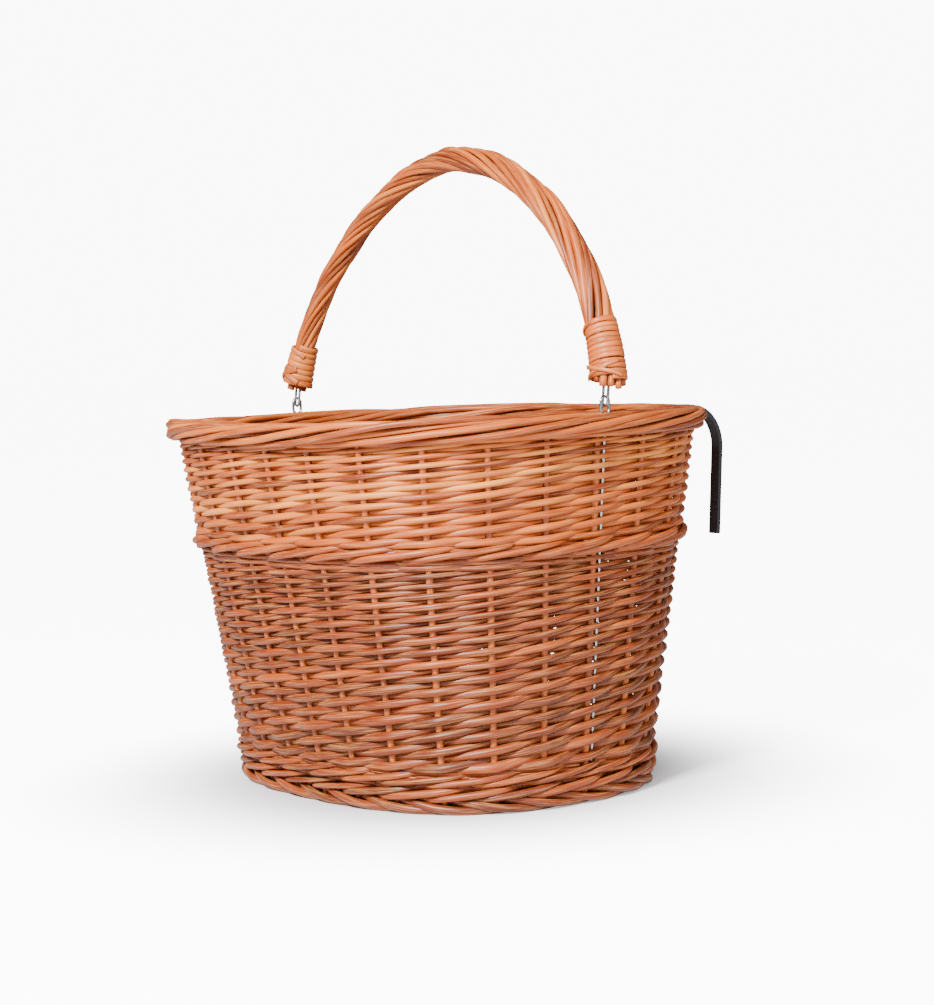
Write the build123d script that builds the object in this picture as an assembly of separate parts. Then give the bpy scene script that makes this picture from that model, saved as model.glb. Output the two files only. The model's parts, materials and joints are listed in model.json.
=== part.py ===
from build123d import *
import math
import os

# Willow handlebar basket, millimetres. X runs across the bicycle, +Y points to the handlebar, +Z is up.
# Everything is modelled about the basket's own axis, then moved by frame_shift_y when it is written,
# so that the origin lies under the middle of the whole object, on the surface it stands on.

# the ring of stakes: a rounded oblong at the foot that grows to a wider one at the rim
rim_half_x = 166.5
rim_half_y = 153.8
rim_power = 2.73
foot_half_x = 142.9
foot_half_y = 108.9
foot_power = 2.54
wall_height = 248.0
stake_count = 26
stake_d = 4.6
stake_clearance = 0.15

# heights of the woven bands
foot_top = 8.0
base_top = 16.0
upsett_top = 26.0
middle_wale_low = 159.0
middle_wale_top = 170.5
border_low = 235.4

# how far each band reaches inside and outside the ring of stakes
foot_reach = (-9.0, 7.0)
upsett_reach = (-7.5, 8.0)
weave_reach = (-6.6, 6.6)
wale_reach = (-8.0, 8.2)
border_reach = (-11.0, 11.0)
border_slope = 4.0
stake_foot_z = 3.0
stake_tip_z = 242.0

# base: straight sticks across a panel of weaving
base_stick_count = 9
base_stick_d = 6.0
base_edge_gap = 0.3
base_stick_inset = 6.0

# galvanised wire that holds the handle
wire_d = 1.9
eye_y = 5.3
eye_x = 167.5
eye_width = 8.6
eye_height = 13.2
eye_centre_z = wall_height + 4.2
link_inside = 2.6
link_leg_top = 34.0

# handle
handle_half_span = 169.5
handle_rise = 168.0
handle_power = 1.811
handle_lean = 6.9
handle_end_h = 9.5
arch_first = 0.045
arch_steps = 13
arc_share = 0.45
core_d = 8.6
rope_d = 16.6
binding_low_h = 13.5
binding_aim = 0.09
binding_d = 21.0
binding_length = {"right": 38.0, "left": 29.0}

# hooks over the handlebar: flat steel in a black sleeve
hook_x = 86.0
strip_size = (6.4, 1.6)
sleeve_size = (8.0, 3.2)
strip_clearance = 0.3
hook_foot_z = 163.0
hook_top_z = wall_height - 1.0
hook_bend_in = 1.0
hook_reach = 42.5
hook_drop = 5.0
hook_tip = (36.2, 156.0)
hook_radii = (5.0, 27.0)
sleeve_start = 8.5
sleeve_cap = 1.5

# how finely the ring's outline is drawn, and the step along it that gives its direction
outline_points = 48
fine_points = 1440
direction_step = 0.004


def oblong(half_x, half_y, power):
    """Points round a rounded oblong, evenly spaced along it, anticlockwise from +X."""
    path = []
    for i in range(fine_points + 1):
        a = 2 * math.pi * i / fine_points
        c, s = math.cos(a), math.sin(a)
        r = (abs(c / half_x) ** power + abs(s / half_y) ** power) ** (-1 / power)
        path.append((r * c, r * s))
    run = [0.0]
    for p, q in zip(path, path[1:]):
        run.append(run[-1] + math.dist(p, q))
    return path, run


foot_ring = oblong(foot_half_x, foot_half_y, foot_power)
rim_ring = oblong(rim_half_x, rim_half_y, rim_power)


def along(ring, u):
    """The point a share u of the way round a ring."""
    path, run = ring
    want = (u % 1.0) * run[-1]
    low, high = 0, fine_points
    while high - low > 1:
        mid = (low + high) // 2
        if run[mid] <= want:
            low = mid
        else:
            high = mid
    t = (want - run[low]) / (run[high] - run[low])
    return tuple(path[low][k] + t * (path[high][k] - path[low][k]) for k in range(2))


def wall_point(u, z, reach=0.0):
    """A point on the wall, a share u round it at height z, moved outwards by reach."""
    def at(v):
        low, high = along(foot_ring, v), along(rim_ring, v)
        t = z / wall_height
        return tuple(low[k] + t * (high[k] - low[k]) for k in range(2))
    x, y = at(u)
    before, after = at(u - direction_step), at(u + direction_step)
    dx, dy = after[0] - before[0], after[1] - before[1]
    size = math.hypot(dx, dy)
    return Vector(x + reach * dy / size, y - reach * dx / size, z)


def outline(z, reach):
    points = [wall_point(i / outline_points, z, reach) for i in range(outline_points)]
    return Wire([Spline(*points, periodic=True)])


def wall_block(low_z, high_z, reach):
    return Solid.make_loft([outline(low_z, reach), outline(high_z, reach)], ruled=True)


def band(low_z, high_z, reaches):
    """A closed ring of wall between two heights."""
    inner, outer = reaches
    return wall_block(low_z, high_z, outer) - wall_block(low_z, high_z, inner)


def sloped_band(low_z, high_z, reaches, slope):
    """A band whose four long edges are cut off by a slope."""
    inner, outer = reaches
    levels = [(low_z, slope), (low_z + slope, 0), (high_z - slope, 0), (high_z, slope)]
    outside = Solid.make_loft([outline(z, outer - s) for z, s in levels], ruled=True)
    inside = Solid.make_loft([outline(z, inner + s) for z, s in levels], ruled=True)
    return outside - inside


def rod(start, end, diameter):
    run = end - start
    plane = Plane(origin=start, z_dir=run)
    return plane * Cylinder(diameter / 2, run.length, align=(Align.CENTER, Align.CENTER, Align.MIN))


def stake(i, diameter=stake_d, low=stake_foot_z, high=stake_tip_z):
    u = i / stake_count
    return rod(wall_point(u, low), wall_point(u, high), diameter)


def wall_y(x, z):
    """The back wall's y on the ring of stakes at this x and height."""
    low, high = 0.0, 0.25
    for _ in range(40):
        mid = (low + high) / 2
        if wall_point(mid, z).X > x:
            low = mid
        else:
            high = mid
    return wall_point(low, z).Y


def hook_corners(side):
    rim_y = wall_y(hook_x, wall_height)
    x = side * hook_x
    foot = Vector(x, wall_y(hook_x, hook_foot_z), hook_foot_z)
    bend = Vector(x, rim_y + hook_bend_in, hook_top_z)
    shoulder = Vector(x, rim_y + hook_reach, hook_top_z - hook_drop)
    tip = Vector(x, rim_y + hook_tip[0], hook_tip[1])
    return foot, bend, shoulder, tip


def swept_strip(corners, radii, size):
    """A flat bar, size wide along X and thick across the bend, along filleted corners."""
    path = FilletPolyline(*corners, radius=list(radii))
    start = Plane(origin=corners[0], x_dir=(1, 0, 0), z_dir=corners[1] - corners[0])
    return sweep(start * Rectangle(*size), path=path)


def grown(size):
    return tuple(s + 2 * strip_clearance for s in size)


def hook_strip(side, size=strip_size):
    foot, bend, shoulder, tip = hook_corners(side)
    end = tip + (shoulder - tip).normalized() * sleeve_cap
    return swept_strip((foot, bend, shoulder, end), hook_radii, size)


def hook_sleeve(side, size=sleeve_size):
    foot, bend, shoulder, tip = hook_corners(side)
    start = bend + (shoulder - bend).normalized() * sleeve_start
    return swept_strip((start, shoulder, tip), hook_radii[1:], size)


def wire_path(edges, start, heading):
    return sweep(Plane(origin=start, z_dir=heading) * Circle(wire_d / 2), path=Wire(edges))


def eye_wire(side):
    """A closed oval loop that stands on the border, on one wire that runs down beside a stake."""
    x = side * eye_x
    r = (eye_width - wire_d) / 2
    half = (eye_height - wire_d) / 2 - r
    top, low = eye_centre_z + half, eye_centre_z - half
    left_low, left_top = Vector(x, eye_y - r, low), Vector(x, eye_y - r, top)
    right_low, right_top = Vector(x, eye_y + r, low), Vector(x, eye_y + r, top)
    edges = [
        Line(left_low, left_top),
        ThreePointArc(left_top, Vector(x, eye_y, top + r), right_top),
        Line(right_top, right_low),
        ThreePointArc(right_low, Vector(x, eye_y, low - r), left_low),
    ]
    loop = wire_path(edges, left_low, (0, 0, 1))
    foot = Vector(side * (foot_half_x + (rim_half_x - foot_half_x) * foot_top / wall_height), eye_y, foot_top)
    stem = rod(foot, Vector(x, eye_y, low - r), wire_d)
    return loop + stem


def leaned(shape):
    """Turns a piece of the upright handle back about the line through the two eyes."""
    return shape.rotate(Axis((0, eye_y, eye_centre_z), (1, 0, 0)), -handle_lean)


def handle_link(side):
    """A narrow U of wire through the eye, with both legs running up into the handle."""
    r = (link_inside + wire_d) / 2
    x, z = side * eye_x, eye_centre_z + r
    legs = [Vector(x - r, eye_y, z), Vector(x + r, eye_y, z)]
    tops = [p + Vector(0, 0, link_leg_top - r) for p in legs]
    path = Wire([
        Line(tops[0], legs[0]),
        ThreePointArc(legs[0], Vector(x, eye_y, z - r), legs[1]),
        Line(legs[1], tops[1]),
    ])
    return sweep(Plane(origin=tops[0], z_dir=(0, 0, -1)) * Circle(wire_d / 2), path=path)


def arch_point(t):
    """The handle's middle line, t from 0 at +X to 1 at -X."""
    a = math.pi * t
    c, s = math.cos(a), abs(math.sin(a))
    x = math.copysign(abs(c) ** (2 / handle_power), c) * handle_half_span
    return Vector(x, eye_y, eye_centre_z + s ** (2 / handle_power) * handle_rise)


def arch_line():
    """Straight runs joined by arcs, as large as the runs allow, over the handle's bow."""
    end_z = eye_centre_z + handle_end_h
    corners = [Vector(handle_half_span, eye_y, end_z)]
    for i in range(arch_steps):
        corners.append(arch_point(arch_first + (1 - 2 * arch_first) * i / (arch_steps - 1)))
    corners.append(Vector(-handle_half_span, eye_y, end_z))
    radii = []
    for a, b, c in zip(corners, corners[1:], corners[2:]):
        turn = math.radians((b - a).get_angle(c - b))
        radii.append(arc_share * min((b - a).length, (c - b).length) / math.tan(turn / 2))
    return FilletPolyline(*corners, radius=radii)


def handle_tube(diameter):
    start = Plane(origin=(handle_half_span, eye_y, eye_centre_z + handle_end_h), z_dir=(0, 0, 1))
    return sweep(start * Circle(diameter / 2), path=arch_line())


def binding(side, name):
    """A wound sleeve of split willow round one end of the handle."""
    start = Vector(side * handle_half_span, eye_y, eye_centre_z + binding_low_h)
    away = arch_point(binding_aim)
    heading = Vector(side * (away.X - handle_half_span), 0, away.Z - start.Z)
    return rod(start, start + heading.normalized() * binding_length[name], binding_d)


def all_parts():
    parts = {}
    sides = {"right": 1, "left": -1}
    stakes = [stake(i) for i in range(stake_count)]
    channels = [stake(i, stake_d + 2 * stake_clearance) for i in range(stake_count)]
    eyes = {name: eye_wire(s) for name, s in sides.items()}
    strips = {name: hook_strip(s) for name, s in sides.items()}
    slots = [hook_strip(s, grown(strip_size)) for s in sides.values()]
    slots += [hook_sleeve(s, grown(sleeve_size)) for s in sides.values()]

    bands = {
        "foot_border": (0.0, foot_top, foot_reach),
        "upsett_wale": (foot_top, upsett_top, upsett_reach),
        "lower_weave": (upsett_top, middle_wale_low, weave_reach),
        "middle_wale": (middle_wale_low, middle_wale_top, wale_reach),
        "upper_weave": (middle_wale_top, border_low, weave_reach),
    }
    for name, (low, high, reaches) in bands.items():
        parts[name] = band(low, high, reaches) - channels - list(eyes.values()) - slots
    border = sloped_band(border_low, wall_height, border_reach, border_slope)
    parts["top_border"] = border - channels - list(eyes.values()) - slots

    for i, solid in enumerate(stakes):
        parts[f"stake_{i + 1:02d}"] = solid

    edge = upsett_reach[0] - base_edge_gap
    panel = wall_block(foot_top, base_top, edge)
    middle_z = (foot_top + base_top) / 2
    depth = foot_half_y + edge
    sticks = []
    for i in range(base_stick_count):
        y = depth * (2 * (i + 0.5) / base_stick_count - 1)
        half = (foot_half_x + edge) * (1 - abs(y / depth) ** foot_power) ** (1 / foot_power)
        half -= base_stick_inset
        sticks.append(rod(Vector(-half, y, middle_z), Vector(half, y, middle_z), base_stick_d))
    for i, solid in enumerate(sticks):
        parts[f"base_stick_{i + 1}"] = solid
    parts["base_weave"] = panel - sticks

    for name, side in sides.items():
        parts[f"eye_wire_{name}"] = eyes[name]
        parts[f"hook_strip_{name}"] = strips[name]
        parts[f"hook_sleeve_{name}"] = hook_sleeve(side) - strips[name]

    links = {name: handle_link(s) for name, s in sides.items()}
    holes = list(links.values())
    core = handle_tube(core_d)
    rope = handle_tube(rope_d)
    parts["handle_core"] = leaned(core - holes)
    parts["handle_rope"] = leaned(rope - core - holes)
    for name, side in sides.items():
        parts[f"handle_link_{name}"] = leaned(links[name])
        parts[f"handle_binding_{name}"] = leaned(binding(side, name) - rope)
    return parts


def main():
    os.makedirs("parts", exist_ok=True)
    parts = all_parts()
    boxes = [shape.bounding_box() for shape in parts.values()]
    frame_shift_y = -(min(b.min.Y for b in boxes) + max(b.max.Y for b in boxes)) / 2
    print("frame shift in Y", round(frame_shift_y, 3))
    for name, shape in parts.items():
        export_step(shape.moved(Location((0, frame_shift_y, 0))), f"parts/{name}.step")


main()
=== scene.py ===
import json
import math
import bmesh
import bpy
import numpy as np
from mathutils import Matrix, Vector


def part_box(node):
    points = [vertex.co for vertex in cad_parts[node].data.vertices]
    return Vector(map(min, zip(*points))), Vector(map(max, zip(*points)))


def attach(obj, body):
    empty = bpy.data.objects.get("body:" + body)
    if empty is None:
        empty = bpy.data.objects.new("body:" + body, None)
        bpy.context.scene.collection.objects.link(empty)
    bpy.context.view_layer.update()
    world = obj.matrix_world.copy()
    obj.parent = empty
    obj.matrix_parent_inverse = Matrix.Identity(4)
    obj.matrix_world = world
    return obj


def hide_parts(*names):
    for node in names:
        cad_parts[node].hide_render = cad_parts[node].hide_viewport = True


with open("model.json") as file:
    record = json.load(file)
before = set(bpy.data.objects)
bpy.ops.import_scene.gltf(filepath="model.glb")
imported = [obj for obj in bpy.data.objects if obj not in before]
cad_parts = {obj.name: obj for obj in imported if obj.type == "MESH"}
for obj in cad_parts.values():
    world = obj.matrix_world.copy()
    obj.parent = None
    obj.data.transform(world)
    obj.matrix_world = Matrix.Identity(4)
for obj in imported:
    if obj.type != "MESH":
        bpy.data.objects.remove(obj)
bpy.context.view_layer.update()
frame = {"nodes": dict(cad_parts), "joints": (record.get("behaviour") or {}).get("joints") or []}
print("frame loaded")

mm = 0.001
rng = np.random.default_rng(26)

# the wall: a rounded oblong foot growing to a wider rounded oblong rim, millimetres
wall = {
    "rimHalfX": 166.5, "rimHalfY": 153.8, "rimPower": 2.73,
    "footHalfX": 142.9, "footHalfY": 108.9, "footPower": 2.54,
    "height": 248.0, "stakes": 26, "stakeD": 4.6,
}
stakes = wall["stakes"]
roundSteps = 400  # points on a plain rod that is laid right round the wall
weaveLow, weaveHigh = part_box("lower_weave")
wallY = (weaveLow.y + weaveHigh.y) / 2  # the wall's own middle, metres


# an outline by share of its own length, anticlockwise from +X
def ringTable(halfX, halfY, power):
    angle = np.linspace(0, 2 * math.pi, 3601)
    radius = (np.abs(np.cos(angle) / halfX) ** power + np.abs(np.sin(angle) / halfY) ** power) ** (-1 / power)
    x, y = radius * np.cos(angle), radius * np.sin(angle)
    run = np.concatenate([[0.0], np.cumsum(np.hypot(np.diff(x), np.diff(y)))])
    return run / run[-1], x, y


footTable = ringTable(wall["footHalfX"], wall["footHalfY"], wall["footPower"])
rimTable = ringTable(wall["rimHalfX"], wall["rimHalfY"], wall["rimPower"])


def ringPoint(s, z):
    share = (s / stakes) % 1.0
    t = z / wall["height"]
    return [(1 - t) * np.interp(share, footTable[0], footTable[k])
            + t * np.interp(share, rimTable[0], rimTable[k]) for k in (1, 2)]


# s counts stakes round the wall from +X, anticlockwise; reach is outwards from the ring of stakes
def wallPoints(s, z, reach):
    near = 0.1  # of a stake's spacing, each way, gives the direction along the wall
    s, z, reach = np.broadcast_arrays(np.asarray(s, float), z, reach)
    x, y = ringPoint(s, z)
    ahead, behind = ringPoint(s + near, z), ringPoint(s - near, z)
    dx, dy = ahead[0] - behind[0], ahead[1] - behind[1]
    size = np.hypot(dx, dy)
    points = np.stack([x + reach * dy / size, y - reach * dx / size, z], 1) * mm
    points[:, 1] += wallY
    return points


# a slow uneven wander, about amount each way, that repeats once per period
def wander(values, period, amount):
    total = np.zeros(len(values))
    for k in range(1, 4):
        phase = rng.uniform(0, 2 * math.pi)
        total += np.sin(2 * math.pi * k * np.asarray(values) / period + phase) / k
    return total * amount / 1.8  # three waves together reach about 1.8


# a smooth curve through a few key values
def smoothKeys(x, keysX, keysY):
    slopes = np.gradient(keysY, keysX)
    k = np.clip(np.searchsorted(keysX, x) - 1, 0, len(keysX) - 2)
    keysX, keysY = np.asarray(keysX), np.asarray(keysY)
    h = keysX[k + 1] - keysX[k]
    t = (x - keysX[k]) / h
    return ((2 * t**3 - 3 * t**2 + 1) * keysY[k] + (t**3 - 2 * t**2 + t) * h * slopes[k]
            + (-2 * t**3 + 3 * t**2) * keysY[k + 1] + (t**3 - t**2) * h * slopes[k + 1])


def pickTone(tone, spread):
    return np.clip(rng.normal(tone, spread), 0, 1)


# points are the rod's middle line in metres; flat is a direction per point in which a split rod is thin
def rod(points, diameter, tone, flat=None):
    return {"points": np.asarray(points), "radius": np.broadcast_to(diameter, len(points)) * mm / 2,
            "tone": tone, "flat": flat}


# how much of its width a split rod is thick
flatness = 0.42


# the mesh of a bevelled curve has all end caps first, from the last rod to the first, then every ring
def flatten(mesh, rods, sides):
    centre, along = [], []
    for one in reversed(rods):
        for end in (-1, 0):
            centre.append(np.repeat(one["points"][end:][:1], sides, 0))
            along.append(np.repeat(one["flat"][end:][:1], sides, 0))
    for one in rods:
        centre.append(np.repeat(one["points"], sides, 0))
        along.append(np.repeat(one["flat"], sides, 0))
    centre, along = np.concatenate(centre), np.concatenate(along)
    co = np.zeros(len(centre) * 3, np.float32)
    mesh.vertices.foreach_get("co", co)
    offset = co.reshape(-1, 3) - centre
    depth = np.sum(offset * along, 1, keepdims=True)
    co = centre + offset - (1 - flatness) * depth * along
    mesh.vertices.foreach_set("co", co.astype(np.float32).ravel())


# every vertex remembers its rod's tone and its place in the rod in mm: along it, then across it
def grainAttributes(mesh, rods, sides):
    grainLength = 5000  # mm of willow that the rods are cut from
    coord, tone = [], []
    angle = 2 * math.pi * np.arange(sides) / sides
    for one in reversed(rods):
        for _ in range(2):
            coord.append(np.zeros((sides, 3)))
            tone.append(np.full(sides, one["tone"]))
    for one in rods:
        steps = np.linalg.norm(np.diff(one["points"], axis=0), axis=1)
        run = np.concatenate([[0], np.cumsum(steps)]) / mm
        radius = one["radius"] / mm
        grain = np.zeros((len(run), sides, 3))
        grain[:, :, 0] = run[:, None] + rng.uniform(0, grainLength)
        grain[:, :, 1] = radius[:, None] * np.cos(angle)
        grain[:, :, 2] = radius[:, None] * np.sin(angle)
        coord.append(grain.reshape(-1, 3))
        tone.append(np.full(len(run) * sides, one["tone"]))
    coord = np.concatenate(coord).astype(np.float32).ravel()
    tone = np.concatenate(tone).astype(np.float32)
    mesh.attributes.new("rodCoord", "FLOAT_VECTOR", "POINT").data.foreach_set("vector", coord)
    mesh.attributes.new("rodTone", "FLOAT", "POINT").data.foreach_set("value", tone)


# rods become round bevelled splines, then one closed mesh
def rodPiece(name, rods, body, replaced, sides=8):
    curve = bpy.data.curves.new(name, "CURVE")
    curve.dimensions = "3D"
    curve.bevel_depth = 1.0
    curve.bevel_resolution = (sides - 4) // 2  # a bevel has four sides and two more for each step
    curve.use_fill_caps = True
    for one in rods:
        spline = curve.splines.new("POLY")
        spline.points.add(len(one["points"]) - 1)
        co = np.ones((len(one["points"]), 4))
        co[:, :3] = one["points"]
        spline.points.foreach_set("co", co.ravel())
        spline.points.foreach_set("radius", one["radius"])
    source = bpy.data.objects.new(name + "Path", curve)
    bpy.context.scene.collection.objects.link(source)
    graph = bpy.context.evaluated_depsgraph_get()
    mesh = bpy.data.meshes.new_from_object(source.evaluated_get(graph))
    bpy.data.objects.remove(source)
    if rods[0]["flat"] is not None:
        flatten(mesh, rods, sides)
    grainAttributes(mesh, rods, sides)

    work = bmesh.new()
    work.from_mesh(mesh)
    doubles = list(work.verts)[::-1]  # keeps the vertex along the rod where a cap meets it
    bmesh.ops.remove_doubles(work, verts=doubles, dist=1e-7)
    bmesh.ops.recalc_face_normals(work, faces=work.faces)
    for face in work.faces:
        face.smooth = len(face.verts) == 4
    work.to_mesh(mesh)
    work.free()

    piece = bpy.data.objects.new(name, mesh)
    bpy.context.scene.collection.objects.link(piece)
    mesh.materials.clear()
    mesh.materials.append(willowRod)
    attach(piece, body)
    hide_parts(*replaced)
    print(name, len(mesh.polygons), "faces")


def hexColour(text):
    parts = [int(text[i:i + 2], 16) / 255 for i in (1, 3, 5)]
    return [p / 12.92 if p <= 0.04045 else ((p + 0.055) / 1.055) ** 2.4 for p in parts] + [1.0]


def addNode(tree, kind, settings=None, values=None, links=None):
    node = tree.nodes.new(kind)
    for key, value in (settings or {}).items():
        setattr(node, key, value)
    for key, value in (values or {}).items():
        node.inputs[key].default_value = value
    for key, socket in (links or {}).items():
        tree.links.new(socket, node.inputs[key])
    return node


def newMaterial(name, values):
    material = bpy.data.materials.new(name)
    material.use_nodes = True
    shader = material.node_tree.nodes["Principled BSDF"]
    for key, value in values.items():
        shader.inputs[key].default_value = value
    return material, material.node_tree, shader


def setStops(ramp, stops):
    elements = ramp.color_ramp.elements
    while len(elements) < len(stops):
        elements.new(1.0)
    for element, (position, colour) in zip(elements, stops):
        element.position = position
        element.color = hexColour(colour)


# peeled and boiled willow: warm buff wood without bark and with a satin skin, streaked along each rod,
# with slow blotches and a few dark bud scars; no two rods have quite the same tone
willow = {
    "tones": [(0.0, "#541d04"), (0.35, "#803008"), (0.7, "#b85513"), (1.0, "#d88236")],
    "toneScale": 14.0, "ior": 1.45, "roughness": 0.42, "smoother": 0.08, "rougher": 0.14,
    "bump": 0.08, "bumpStrength": 0.6,
}
# what lies over the tone, lowest first: millimetres along and across the rod, where it starts and is full
willowLayers = {
    "blotch": {"texture": "ShaderNodeTexNoise", "settings": {"Scale": 1.0, "Detail": 3.0, "Roughness": 0.55},
               "along": 55.0, "across": 7.0, "colour": "#752706",
               "share": {"From Min": 0.45, "From Max": 0.72, "To Min": 0.0, "To Max": 0.78}},
    "streak": {"texture": "ShaderNodeTexNoise", "settings": {"Scale": 1.0, "Detail": 4.0, "Roughness": 0.6},
               "along": 22.0, "across": 0.7, "colour": "#dc9654",
               "share": {"From Min": 0.48, "From Max": 0.74, "To Min": 0.0, "To Max": 0.6}},
    "scar": {"texture": "ShaderNodeTexVoronoi", "settings": {"Scale": 1.0, "Randomness": 1.0},
             "along": 46.0, "across": 8.33333, "colour": "#2c0f06",
             "share": {"From Min": 0.03, "From Max": 0.06, "To Min": 0.75, "To Max": 0.0}},
}


def willowMaterial(name, direction="rod", toneShift=0.0):
    material, tree, shader = newMaterial(name, {"IOR": willow["ior"]})
    if direction == "rod":  # a woven rod's own attributes, in millimetres
        unit = 1.0
        place = addNode(tree, "ShaderNodeAttribute", {"attribute_name": "rodCoord"}).outputs["Vector"]
        tone = addNode(tree, "ShaderNodeAttribute", {"attribute_name": "rodTone"}).outputs["Fac"]
    else:  # a straight CAD rod along X or Z, in metres
        unit = mm
        place = addNode(tree, "ShaderNodeTexCoord").outputs["Object"]
        tone = addNode(tree, "ShaderNodeTexNoise", values={"Scale": willow["toneScale"], "Detail": 0.0},
                       links={"Vector": place}).outputs["Fac"]
    shifted = addNode(tree, "ShaderNodeMath", {"operation": "ADD"}, {1: toneShift}, {0: tone})
    ramp = addNode(tree, "ShaderNodeValToRGB", links={"Fac": shifted.outputs[0]})
    setStops(ramp, willow["tones"])

    colour = ramp.outputs["Color"]
    patterns = {}
    for layer, values in willowLayers.items():
        along, across = 1 / (values["along"] * unit), 1 / (values["across"] * unit)
        scale = (across, across, along) if direction == "z" else (along, across, across)
        stretched = addNode(tree, "ShaderNodeMapping", values={"Scale": scale}, links={"Vector": place})
        texture = addNode(tree, values["texture"], values=values["settings"],
                          links={"Vector": stretched.outputs["Vector"]})
        patterns[layer] = texture.outputs[0]
        share = addNode(tree, "ShaderNodeMapRange", values=values["share"], links={"Value": patterns[layer]})
        mixed = addNode(tree, "ShaderNodeMix", {"data_type": "RGBA"}, {7: hexColour(values["colour"])},
                        {0: share.outputs[0], 6: colour})
        colour = mixed.outputs[2]
    tree.links.new(colour, shader.inputs["Base Color"])

    smoothest, roughest = willow["roughness"] - willow["smoother"], willow["roughness"] + willow["rougher"]
    gloss = addNode(tree, "ShaderNodeMapRange", values={"To Min": smoothest, "To Max": roughest},
                    links={"Value": patterns["streak"]})
    tree.links.new(gloss.outputs[0], shader.inputs["Roughness"])
    bump = addNode(tree, "ShaderNodeBump", values={
        "Strength": willow["bumpStrength"], "Distance": willow["bump"] * mm},
        links={"Height": patterns["streak"]})
    tree.links.new(bump.outputs["Normal"], shader.inputs["Normal"])
    return material


willowRod = willowMaterial("peeledWillow")
willowStake = willowMaterial("peeledWillowStake", "z", -0.02)
willowStick = willowMaterial("peeledWillowStick", "x", -0.02)

# hot-dip galvanised wire: bright zinc with a faint uneven spangle about a millimetre across
wire = {"colour": "#b4b7bb", "spangle": 1.11111, "smoothest": 0.16, "roughest": 0.36}
wireMaterial, wireTree, wireShader = newMaterial(
    "galvanisedWire", {"Base Color": hexColour(wire["colour"]), "Metallic": 1.0})
wirePlace = addNode(wireTree, "ShaderNodeTexCoord").outputs["Object"]
wireNoise = addNode(wireTree, "ShaderNodeTexNoise", values={
    "Scale": 1 / (wire["spangle"] * mm), "Detail": 2.0}, links={"Vector": wirePlace})
wireRough = addNode(wireTree, "ShaderNodeMapRange", values={
    "To Min": wire["smoothest"], "To Max": wire["roughest"]}, links={"Value": wireNoise.outputs["Fac"]})
wireTree.links.new(wireRough.outputs[0], wireShader.inputs["Roughness"])

# plain rolled mild steel strip, dull
strip = {"colour": "#8d9094", "roughness": 0.42}
stripMaterial, _, _ = newMaterial("rolledSteelStrip", {
    "Base Color": hexColour(strip["colour"]), "Metallic": 1.0, "Roughness": strip["roughness"]})

# black heat-shrunk polyolefin sleeve: soft sheen, very slight orange peel a few millimetres across
sleeve = {
    "colour": "#232327", "roughness": 0.42, "ior": 1.5, "peel": 2.38095, "bump": 0.1, "bumpStrength": 0.4,
}
sleeveMaterial, sleeveTree, sleeveShader = newMaterial("shrinkSleeve", {
    "Base Color": hexColour(sleeve["colour"]), "Roughness": sleeve["roughness"], "IOR": sleeve["ior"]})
sleevePlace = addNode(sleeveTree, "ShaderNodeTexCoord").outputs["Object"]
sleeveNoise = addNode(sleeveTree, "ShaderNodeTexNoise", values={
    "Scale": 1 / (sleeve["peel"] * mm), "Detail": 2.0}, links={"Vector": sleevePlace})
sleeveBump = addNode(sleeveTree, "ShaderNodeBump", values={
    "Strength": sleeve["bumpStrength"], "Distance": sleeve["bump"] * mm},
    links={"Height": sleeveNoise.outputs["Fac"]})
sleeveTree.links.new(sleeveBump.outputs["Normal"], sleeveShader.inputs["Normal"])

nodeMaterials = {
    "stake_": willowStake, "base_stick": willowStick, "eye_wire": wireMaterial, "handle_link": wireMaterial,
    "hook_strip": stripMaterial, "hook_sleeve": sleeveMaterial,
}
for node in frame["nodes"]:
    for start, material in nodeMaterials.items():
        if node.startswith(start):
            nodeMesh = frame["nodes"][node].data
            nodeMesh.materials.clear()
            nodeMesh.materials.append(material)
print("materials made")

# side weaving: a rod starts at every stake and climbs one row at each stake, over one and under one
sideWeave = {
    # the lower weave's rods take a darker tone than the upper's: partly their own darker tone, partly painted
    # shade for the lower wall, which gets less light
    "lowerWeave": {"replaces": "lower_weave", "rows": 34, "bottom": 27.2,
                   "firstPitch": 5.35, "lastPitch": 2.42, "tone": 0.16, "toneSpread": 0.20},
    "upperWeave": {"replaces": "upper_weave", "rows": 21, "bottom": 169.8,
                   "firstPitch": 4.08, "lastPitch": 2.20, "tone": 0.58, "toneSpread": 0.22},
}
# lengths along a rod count stakes; swayWaves hold stakes round and millimetres up for each wave
weaving = {
    "fullness": 1.19, "thicknessSpread": 0.045, "swell": 0.04, "swellPeriod": 9.0,
    "squeeze": 0.56, "straightness": 0.95, "depthWaver": 0.25, "depthPeriod": 7.0,
    "waver": 0.13, "waverPeriod": 11.0, "sway": 0.7, "swayWaves": [(5.2, 90.0), (2.9, -61.0)], "swayFade": 3,
    "buttBack": 0.9, "buttDrop": 0.4, "tipShort": 0.2, "stepsPerStake": 10,
}


# neighbouring rows drift up and down together round the wall
def sway(s, z):
    waves = sum(np.sin(2 * math.pi * (s / around + z / up)) for around, up in weaving["swayWaves"])
    return weaving["sway"] * waves / 2


# in front of a stake at whole even rows, behind at odd ones, nearly straight between
def overUnder(row):
    straight = weaving["straightness"]
    return np.arcsin(straight * np.cos(math.pi * row)) / math.asin(straight)


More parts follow.
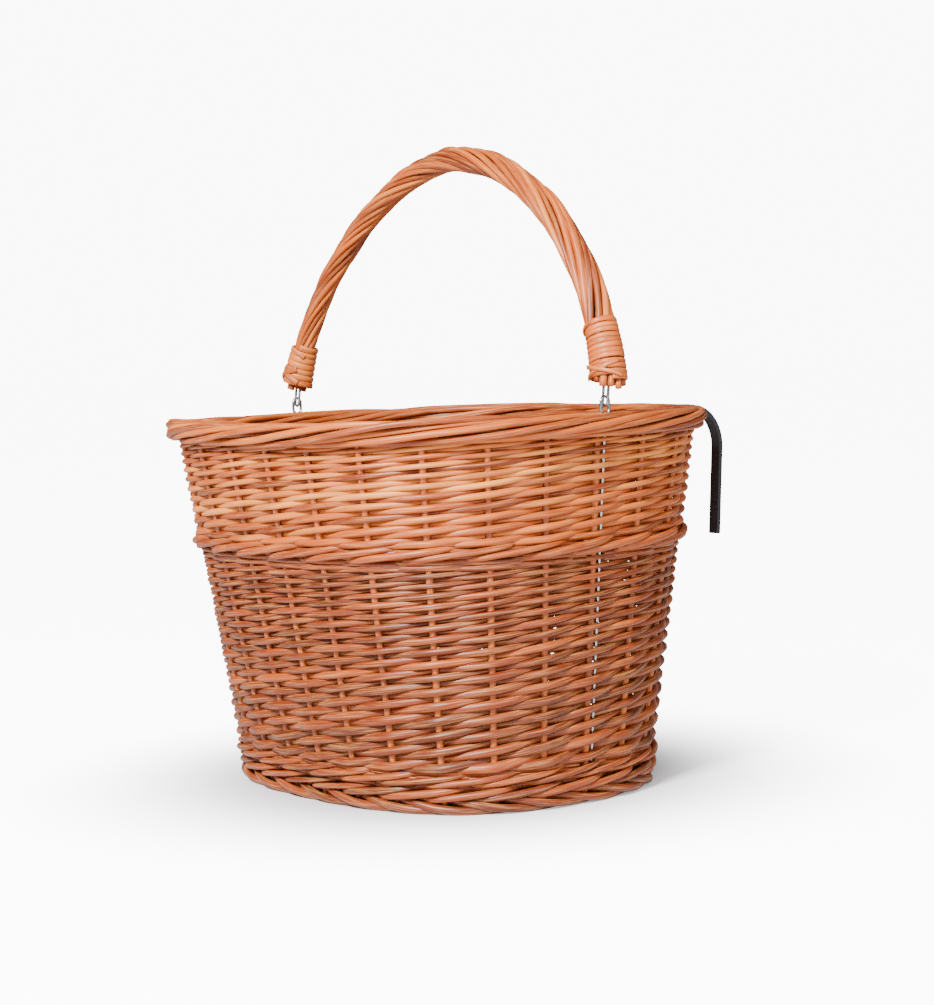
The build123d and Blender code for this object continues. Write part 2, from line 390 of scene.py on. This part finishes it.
def sideRods(values):
    rods = []
    rows, first, last = values["rows"], values["firstPitch"], values["lastPitch"]
    back, short = weaving["buttBack"], weaving["tipShort"]
    for m in range(stakes):
        row = np.linspace(-back, rows - short, round((rows + back - short) * weaving["stepsPerStake"]) + 1)
        climbed = np.maximum(row, 0)
        pitch = first + (last - first) * np.clip(climbed / rows, 0, 1)
        height = values["bottom"] + first / 2 + first * climbed + (last - first) * climbed ** 2 / (2 * rows)
        height = height + np.minimum(row, 0) * first * weaving["buttDrop"]
        thick = pitch * weaving["fullness"] * (1 + rng.normal(0, weaving["thicknessSpread"]))
        thick = thick * (1 + wander(row, weaving["swellPeriod"], weaving["swell"]))
        reach = (wall["stakeD"] + thick) / 2 * weaving["squeeze"] * overUnder(row)
        reach = reach + wander(row, weaving["depthPeriod"], weaving["depthWaver"])
        fade = np.clip(np.minimum(row + back, rows - short - row) / weaving["swayFade"], 0, 1)
        z = height + wander(row, weaving["waverPeriod"], weaving["waver"]) + sway(m + row, height) * fade
        points = wallPoints(m + row, z, reach)
        rods.append(rod(points, thick, pickTone(values["tone"], values["toneSpread"])))
    return rods


for name, values in sideWeave.items():
    rodPiece(name, sideRods(values), "basket", [values["replaces"]])

# waling: three rods in turn, each in front of two stakes and behind one; packing holds heights
waleBands = {
    # the upsett wale's rods take a dark tone: partly their own darker tone, partly painted shade near the
    # floor
    "upsettWale": {"replaces": "upsett_wale", "rounds": 2, "bottom": 8.6, "lift": 8.6, "rodD": 4.3,
                   "start": 20, "packing": [16.9, 20.4, 22.6, 25.6], "tone": 0.22},
    "middleWale": {"replaces": "middle_wale", "rounds": 1, "bottom": 160.2, "lift": 0.0, "rodD": 5.0,
                   "start": 24, "packing": [156.2, 159.6, 163.6, 166.6, 170.4], "tone": 0.50},
}
waling = {
    "firstStep": 0.35, "overrun": 0.45, "stepsPerStake": 9, "roundShift": 7, "toneSpread": 0.16,
    "swing": 1.33, "forward": 0.33, "firmness": 1.2, "climb": 0.92, "outwards": 0.3,
    "thicknessSpread": 0.04, "swell": 0.05, "swellPeriod": 12.0,
    "taperTo": [1.03, 0.97, 0.75], "taperFrom": 0.8,
    "depthWaver": 0.3, "depthPeriod": 8.0, "waver": 0.35, "waverPeriod": 10.0,
    "packingD": 3.4, "packingReach": 2.2, "packingLift": 0.8, "packingTones": [0.2, 0.35],
    "packingGap": 0.2, "packingSteps": 10,
}


def waleRods(values):
    rods = []
    d = values["rodD"]
    s = np.linspace(waling["firstStep"], stakes + waling["overrun"], stakes * waling["stepsPerStake"])
    phase = (s + 0.5) % 3 - 0.5  # behind a stake at 0, in front at 1 and 2
    swing = waling["swing"] * -np.cos(2 * math.pi * phase / 3) + waling["forward"]
    swing = np.tanh(waling["firmness"] * swing) / math.tanh(waling["firmness"])
    climb = np.where(phase > 0.5, phase - 1.5, -np.sin(math.pi * phase)) * waling["climb"]
    taper = np.interp(s, [0, stakes * waling["taperFrom"], stakes + 1], waling["taperTo"])
    for turn in range(values["rounds"]):
        middle = values["bottom"] + d + turn * values["lift"]
        for j in range(3):
            start = values["start"] + j + turn * waling["roundShift"]
            thick = d * (1 + rng.normal(0, waling["thicknessSpread"]))
            thick = thick * (1 + wander(s, waling["swellPeriod"], waling["swell"])) * taper
            reach = swing * (wall["stakeD"] + thick) / 2 + waling["outwards"]
            reach = reach + wander(s, waling["depthPeriod"], waling["depthWaver"])
            z = middle + climb * d + wander(s, waling["waverPeriod"], waling["waver"])
            points = wallPoints(start + s, z, reach)
            rods.append(rod(points, thick, pickTone(values["tone"], waling["toneSpread"])))
    # thin rods in and out bed the weaves above and below on the wale
    gap = waling["packingGap"]
    s = np.linspace(gap, stakes - gap, stakes * waling["packingSteps"])
    for z in values["packing"]:
        for side, tone in enumerate(waling["packingTones"]):
            reach = waling["packingReach"] * overUnder(s + side)
            points = wallPoints(s, z + side * waling["packingLift"], reach)
            rods.append(rod(points, waling["packingD"], tone))
    return rods


for name, values in waleBands.items():
    rodPiece(name, waleRods(values), "basket", [values["replaces"]])

# foot border: each stake's butt comes out under the wale, turns down and runs on below its neighbours
footBorder = {
    "rodD": 5.2, "span": 3.4, "keyAlong": [0.0, 0.4, 1.0, 1.7, 2.5, 3.4],
    "keyHeight": [9.2, 7.8, 4.4, 2.6, 3.0, 6.0], "keyReach": [-2.0, 2.4, 5.2, 2.8, -2.2, -6.5],
    "taperAlong": [0, 2, 3], "taperTo": [1.0, 0.97, 0.8], "thicknessSpread": 0.05,
    "heightSpread": 0.25, "reachSpread": 0.3, "placeSpread": 0.05,
    # the foot rods take the darkest tone: partly their own darker tone, partly painted shade near the floor
    "tone": 0.14, "toneSpread": 0.14, "steps": 40,
}


def footRods(values):
    rods = []
    for m in range(stakes):
        t = np.linspace(0, values["span"], values["steps"])
        thick = values["rodD"] * (1 + rng.normal(0, values["thicknessSpread"]))
        thick = thick * np.interp(t, values["taperAlong"], values["taperTo"])
        z = smoothKeys(t, values["keyAlong"], values["keyHeight"]) + rng.normal(0, values["heightSpread"])
        z = np.maximum(z, thick / 2)  # nothing goes below the floor
        reach = smoothKeys(t, values["keyAlong"], values["keyReach"]) + rng.normal(0, values["reachSpread"])
        points = wallPoints(m + t + rng.normal(0, values["placeSpread"]), z, reach)
        rods.append(rod(points, thick, pickTone(values["tone"], values["toneSpread"])))
    return rods


rodPiece("footBorder", footRods(footBorder), "basket", ["foot_border"], 10)

# top border: from every stake a rod slants up the outside, rolls over the top and tucks in inside;
# filling holds reach, height and diameter of the hidden rods that the border is rolled round
topBorder = {
    "rodD": 4.1, "span": 9.0, "middleZ": 240.0, "halfWide": 9.0, "halfHigh": 6.0,
    "keyReach": [0.5, 7.4, 9.0, 7.6, 0.0, -7.2, -8.6, -5.0],
    "keyHeight": [234.0, 236.4, 240.6, 244.6, 245.8, 244.4, 240.2, 236.8],
    "thicknessSpread": 0.08, "taperAlong": [0, 0.1, 0.8, 1], "taperTo": [0.95, 1.05, 0.95, 0.75],
    "swell": 0.04, "swellPeriod": 0.7,
    "bulge": 0.65, "bulgePeriod": 0.45, "bulgeSpread": 0.75, "bulgeUp": 0.8,
    "waver": 0.35, "waverPeriod": 0.9, "placeSpread": 0.22, "drift": 0.12, "driftPeriod": 0.8,
    "tone": 0.56, "toneSpread": 0.16, "steps": 90,
    "filling": [(3.4, 240.0, 6.0), (-3.4, 240.4, 6.0)], "fillingTone": 0.1,
}


def borderRods(values):
    rods = []
    steps = np.hypot(np.diff(values["keyReach"]), np.diff(values["keyHeight"]))
    keyShare = np.concatenate([[0.0], np.cumsum(steps)]) / steps.sum()
    for m in range(stakes):
        t = np.linspace(0, 1, values["steps"])
        thick = values["rodD"] * (1 + rng.normal(0, values["thicknessSpread"]))
        thick = thick * np.interp(t, values["taperAlong"], values["taperTo"])
        thick = thick * (1 + wander(t, values["swellPeriod"], values["swell"]))
        bulge = wander(t, values["bulgePeriod"], values["bulge"]) + rng.normal(0, values["bulgeSpread"])
        reach = smoothKeys(t, keyShare, values["keyReach"])
        z = smoothKeys(t, keyShare, values["keyHeight"])
        outX, outZ = reach / values["halfWide"], np.clip((z - values["middleZ"]) / values["halfHigh"], -1, 1)
        reach = reach + bulge * outX
        z = z + bulge * outZ * values["bulgeUp"] + wander(t, values["waverPeriod"], values["waver"])
        s = m + rng.normal(0, values["placeSpread"]) + t * values["span"]
        s = s + wander(t, values["driftPeriod"], values["drift"])
        rods.append(rod(wallPoints(s, z, reach), thick, pickTone(values["tone"], values["toneSpread"])))
    for reach, z, thick in values["filling"]:
        points = wallPoints(np.linspace(0, stakes - 0.2, roundSteps), z, reach)
        rods.append(rod(points, thick, values["fillingTone"]))
    return rods


rodPiece("topBorder", borderRods(topBorder), "basket", ["top_border"], 10)

# base: thin rods woven across the sticks; rim holds reach, height and diameter of the rods laid round
# the edge where the stakes turn up
baseWeave = {
    "rodD": 4.5, "pitch": 4.1, "inset": 8.0, "edge": 3.0, "stepsPerStick": 6, "squeeze": 0.72,
    "thicknessSpread": 0.05, "waver": 0.3, "waverPeriod": 70, "tone": 0.5, "toneSpread": 0.18,
    "rim": [(-7.0, 11.0, 5.0), (-6.6, 15.0, 4.6), (-10.6, 13.0, 4.6)], "rimTone": 0.4,
}


def baseRods(values):
    rods = []
    sticks = sorted((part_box(n) for n in frame["nodes"] if n.startswith("base_stick")), key=lambda b: b[0].y)
    low, high = sticks[0]
    firstY, nextY = ((box[0].y + box[1].y) / 2 / mm for box in sticks[:2])
    stickD = (high.z - low.z) / mm
    middleZ = (high.z + low.z) / 2 / mm
    gap = nextY - firstY
    halfX, halfY = wall["footHalfX"] - values["inset"], wall["footHalfY"] - values["inset"]
    power = wall["footPower"]
    count = int(2 * (halfX - values["edge"]) / values["pitch"])
    for k in range(count):
        x = (k - (count - 1) / 2) * values["pitch"]
        reachY = halfY * (1 - abs(x / halfX) ** power) ** (1 / power)
        steps = max(8, int(2 * reachY / gap * values["stepsPerStick"]))
        y = np.linspace(-reachY, reachY, steps) + wallY / mm
        swing = np.cos(math.pi * (y - firstY) / gap) * (1 if k % 2 else -1)
        thick = values["rodD"] * (1 + rng.normal(0, values["thicknessSpread"]))
        z = middleZ + swing * (stickD + thick) / 2 * values["squeeze"]
        points = np.stack([x + wander(y, values["waverPeriod"], values["waver"]), y, z], 1) * mm
        rods.append(rod(points, thick, pickTone(values["tone"], values["toneSpread"])))
    for reach, z, thick in values["rim"]:
        points = wallPoints(np.linspace(0.3, stakes, roundSteps), z, reach)
        rods.append(rod(points, thick, values["rimTone"]))
    return rods


rodPiece("baseWeave", baseRods(baseWeave), "basket", ["base_weave"])
print("basket woven")

# handle: ten rods twisted round a core, along a bow that leans back at rest; pairs ending in At and To are
# shares of the bow and what the value is there
handle = {
    "halfSpan": 169.5, "rise": 168.0, "power": 1.811, "lean": 6.9, "endHeight": 12.0,
    "strands": 10, "strandD": 4.1, "thicknessSpread": 0.10, "swell": 0.05, "swellPeriod": 160,
    "thickAt": [0, 0.25, 0.6, 1], "thickTo": [1.12, 1.08, 1.0, 0.88],
    "centreR": 6.3, "spreadAt": [0, 0.08, 0.25, 0.6, 1], "spreadTo": [1.28, 1.22, 1.16, 1.0, 0.86],
    "spreadWaver": 0.75, "spreadPeriod": 150, "splay": [1.6, 0, 0, 0.8], "splayPast": 4, "splayLength": 40,
    "turnLength": 190.0, "looseness": 0.72, "turnWaver": 0.24, "turnPeriod": 330, "steadyLength": 60,
    "looseAt": [0, 0.45, 1], "looseTo": [1.0, 0.7, 0.25],
    "ragged": 1.6, "buttIn": 1.2, "buttSlant": 3.2, "tone": 0.55, "toneSpread": 0.18, "steps": 190,
    "coreD": 8.6, "coreIn": 3, "coreTone": 0.15, "coreSteps": 120,
}
hinge = np.array(frame["joints"][0]["pos_m"]) / mm
lean = math.radians(handle["lean"])


def bowTable():
    a = np.linspace(0, math.pi, 2001)
    c, s = np.cos(a), np.sin(a)
    x = np.sign(c) * np.abs(c) ** (2 / handle["power"]) * handle["halfSpan"]
    h = np.abs(s) ** (2 / handle["power"]) * handle["rise"]
    keep = h >= handle["endHeight"]
    x, h = x[keep], h[keep]
    run = np.concatenate([[0.0], np.cumsum(np.hypot(np.diff(x), np.diff(h)))])
    return run, x, h


bowRun, bowX, bowH = bowTable()
bowLength = bowRun[-1]


# run is along the bow from +X; side is outwards in the bow's plane and back is towards the handlebar
def bowPoints(run, side, back):
    near = 2  # millimetres each way, gives the direction along the bow
    x, h = np.interp(run, bowRun, bowX), np.interp(run, bowRun, bowH)
    inside = np.clip(run, near, bowLength - near)
    dx = np.interp(inside + near, bowRun, bowX) - np.interp(inside - near, bowRun, bowX)
    dh = np.interp(inside + near, bowRun, bowH) - np.interp(inside - near, bowRun, bowH)
    size = np.hypot(dx, dh)
    tx, th = dx / size, dh / size
    past = np.minimum(run, 0) + np.maximum(run - bowLength, 0)  # straight on past either end
    x, h = x + side * th + tx * past, h - side * tx + th * past
    y = back * math.cos(lean) + h * math.sin(lean)
    z = h * math.cos(lean) - back * math.sin(lean)
    return np.stack([x, y + hinge[1], z + hinge[2]], 1) * mm


def handleRods(values):
    rods = []
    ragged, past, splayLength = values["ragged"], values["splayPast"], values["splayLength"]
    twist = 2 * math.pi * bowLength / values["turnLength"]
    for k in range(values["strands"]):
        phase = 2 * math.pi * k / values["strands"]
        first = rng.uniform(-ragged, ragged) + values["buttIn"] - values["buttSlant"] * math.cos(phase)
        run = np.linspace(first, bowLength + rng.uniform(-ragged, ragged), values["steps"])
        share = np.clip(run / bowLength, 0, 1)
        turn = phase + twist * (values["looseness"] * share + (1 - values["looseness"]) * share ** 2)
        loose = np.interp(share, values["looseAt"], values["looseTo"])
        steady = np.clip(run / values["steadyLength"], 0, 1)
        turn = turn + wander(run, values["turnPeriod"], values["turnWaver"]) * loose * steady
        thick = values["strandD"] * (1 + rng.normal(0, values["thicknessSpread"]))
        thick = thick * (1 + wander(run, values["swellPeriod"], values["swell"]))
        thick = thick * np.interp(share, values["thickAt"], values["thickTo"])
        spread = values["centreR"] * np.interp(share, values["spreadAt"], values["spreadTo"])
        spread = spread + wander(run, values["spreadPeriod"], values["spreadWaver"]) * loose
        splayAt = [-past, splayLength, bowLength - splayLength, bowLength + past]
        splay = np.interp(run, splayAt, values["splay"])
        points = bowPoints(run, spread * np.cos(turn) + splay, spread * np.sin(turn))
        rods.append(rod(points, thick, pickTone(values["tone"], values["toneSpread"])))
    run = np.linspace(values["coreIn"], bowLength - values["coreIn"], values["coreSteps"])
    rods.append(rod(bowPoints(run, 0, 0), values["coreD"], values["coreTone"]))
    return rods


rodPiece("handleRods", handleRods(handle), "handle", ["handle_rope", "handle_core"], 12)

# bindings: a flat skein of split willow wound round each end, its last turns crossed over and tucked
bindings = {
    "bindingRight": {"node": "handle_binding_right", "turns": 11.4, "start": 4.0, "length": 37.0, "side": 1,
                     "topR": 10.2, "footR": 10.7, "footOut": 1.5, "outward": 1.4},
    "bindingLeft": {"node": "handle_binding_left", "turns": 6.4, "start": 4.0, "length": 28.0, "side": -1,
                    "topR": 9.0, "footR": 10.2, "footOut": 0.6, "outward": 0.4},
}
skein = {
    "stepsPerTurn": 30, "overlap": 1.02, "uneven": 0.10, "unevenPeriod": 5.0,
    "waver": 0.35, "waverPeriod": 2.3,
    "tone": 0.74, "toneSpread": 0.08, "tuckSteps": 40,
}
# each tuck starts at the binding's foot, or at its top, and has a first value and a change for its place in
# widths, its angle round the handle and its width; over is how far it lies over the turns
tucks = [
    {"fromTop": 0, "place": (0.3, 2.6), "angle": (-2.5, 2.3), "width": (1.0, -0.15), "over": 1.0},
    {"fromTop": 0, "place": (2.7, -2.6), "angle": (-2.3, 2.2), "width": (0.95, -0.2), "over": 1.5},
    {"fromTop": 1, "place": (-1.4, 1.1), "angle": (-2.6, 1.3), "width": (0.9, -0.35), "over": 1.0},
]


# every stretch of skein as its run along the bow, its angle, its width and how far it lies over the turns
def skeinStretches(values):
    t = np.linspace(0, values["turns"], int(values["turns"] * skein["stepsPerTurn"]))
    width = values["length"] / values["turns"]
    first = rng.uniform(0, 6)
    uneven = 1 + wander(t, skein["unevenPeriod"], skein["uneven"])
    run = values["start"] + t * width + wander(t, skein["waverPeriod"], skein["waver"])
    stretches = [(run, first + 2 * math.pi * t, width * skein["overlap"] * uneven, 0.0)]
    share = np.linspace(0, 1, skein["tuckSteps"])
    for tuck in tucks:
        place, angle, wide = (tuck[k][0] + tuck[k][1] * share for k in ("place", "angle", "width"))
        run = values["start"] + tuck["fromTop"] * values["length"] + width * place
        stretches.append((run, angle, width * wide, tuck["over"]))
    return stretches


def skeinRods(values):
    rods = []
    for run, angle, width, over in skeinStretches(values):
        share = np.clip((run - values["start"]) / values["length"], 0, 1)
        roundR = values["footR"] + (values["topR"] - values["footR"]) * share
        wideR = roundR + values["footOut"] * (1 - share)
        shift = values["outward"] * (1 - share)
        along = run if values["side"] > 0 else bowLength - run
        inner, outer = (
            bowPoints(along, (wideR + lift) * np.cos(angle) + shift, (roundR + lift) * np.sin(angle))
            for lift in (over, over + 1))
        outwards = outer - inner
        outwards /= np.linalg.norm(outwards, axis=1, keepdims=True)
        rods.append(rod(inner, width, pickTone(skein["tone"], skein["toneSpread"]), outwards))
    return rods


for name, values in bindings.items():
    rodPiece(name, skeinRods(values), "handle", [values["node"]], 12)
print("handle made")

# camera, a little above the rim, about a metre and a half from the basket's middle
camera = {"place": (1.23497, -0.96941, 0.28874), "yaw": 51.08, "pitch": 3.746, "roll": -1.76, "lens": 82.93}
yaw, pitch, roll = (math.radians(camera[k]) for k in ("yaw", "pitch", "roll"))
forward = Vector((-math.sin(yaw) * math.cos(pitch), math.cos(yaw) * math.cos(pitch), -math.sin(pitch)))
level = Vector((math.cos(yaw), math.sin(yaw), 0.0))
upright = level.cross(forward)
right = level * math.cos(roll) + upright * math.sin(roll)
up = right.cross(forward)
cameraData = bpy.data.cameras.new("camera")
cameraData.lens = camera["lens"]
cameraData.sensor_width = 36.0
cameraObject = bpy.data.objects.new("camera", cameraData)
cameraPlace = Matrix.Translation(Vector(camera["place"]) + Vector((0, wallY, 0)))
cameraObject.matrix_world = cameraPlace @ Matrix((right, up, -forward)).transposed().to_4x4()
bpy.context.scene.collection.objects.link(cameraObject)
bpy.context.scene.camera = cameraObject

# plain pale floor: away from the basket it glows to the camera, like a lit sweep
studio = {
    "soft": 0.25, "backdrop": 10.0, "glowFrom": 0.12, "glowTo": 0.33,
    "floorR": 30.0, "floorColour": "#d8d8d8", "floorRoughness": 0.9,
}
floorMesh = bpy.data.meshes.new("floor")
floorWork = bmesh.new()
bmesh.ops.create_circle(floorWork, cap_ends=True, segments=64, radius=studio["floorR"])
floorWork.to_mesh(floorMesh)
floorWork.free()
floor = bpy.data.objects.new("floor", floorMesh)
bpy.context.scene.collection.objects.link(floor)
floorMaterial, floorTree, floorShader = newMaterial("paleFloor", {
    "Base Color": hexColour(studio["floorColour"]), "Roughness": studio["floorRoughness"],
    "Emission Color": (1, 1, 1, 1)})
floorSeen = addNode(floorTree, "ShaderNodeLightPath")
floorPlace = addNode(floorTree, "ShaderNodeTexCoord").outputs["Object"]
floorFar = addNode(floorTree, "ShaderNodeVectorMath", {"operation": "LENGTH"}, links={0: floorPlace})
glow = studio["backdrop"] - studio["soft"]
floorShare = addNode(floorTree, "ShaderNodeMapRange", {"interpolation_type": "SMOOTHSTEP"}, {
    "From Min": studio["glowFrom"], "From Max": studio["glowTo"], "To Max": glow},
    {"Value": floorFar.outputs["Value"]})
floorGlow = addNode(floorTree, "ShaderNodeMath", {"operation": "MULTIPLY"},
                    links={0: floorSeen.outputs["Is Camera Ray"], 1: floorShare.outputs[0]})
floorTree.links.new(floorGlow.outputs[0], floorShader.inputs["Emission Strength"])
floorMesh.materials.append(floorMaterial)

# soft light from all round, with a brighter backdrop for the camera
world = bpy.data.worlds.new("studio")
bpy.context.scene.world = world
world.use_nodes = True
sky = world.node_tree.nodes["Background"]
sky.inputs["Color"].default_value = (1, 1, 1, 1)
sky.inputs["Strength"].default_value = studio["soft"]
backdrop = addNode(world.node_tree, "ShaderNodeBackground", values={
    "Color": (1, 1, 1, 1), "Strength": studio["backdrop"]})
seen = addNode(world.node_tree, "ShaderNodeLightPath")
mixed = addNode(world.node_tree, "ShaderNodeMixShader", links={
    0: seen.outputs["Is Camera Ray"], 1: sky.outputs[0], 2: backdrop.outputs[0]})
world.node_tree.links.new(mixed.outputs[0], world.node_tree.nodes["World Output"].inputs["Surface"])

lamps = {
    "keyLamp": {"place": (0.8, -1.85, 1.65), "aim": (0, 0, 0.25), "size": 0.5, "power": 212.0},
    "fillLamp": {"place": (2.3, -0.1, 1.4), "aim": (0, 0, 0.25), "size": 1.2, "power": 42.0},
}
for name, values in lamps.items():
    lampData = bpy.data.lights.new(name, "AREA")
    lampData.size = values["size"]
    lampData.energy = values["power"]
    lamp = bpy.data.objects.new(name, lampData)
    lamp.location = values["place"]
    aim = Vector(values["aim"]) - Vector(values["place"])
    lamp.rotation_euler = aim.to_track_quat("-Z", "Y").to_euler()
    bpy.context.scene.collection.objects.link(lamp)
print("stage set")
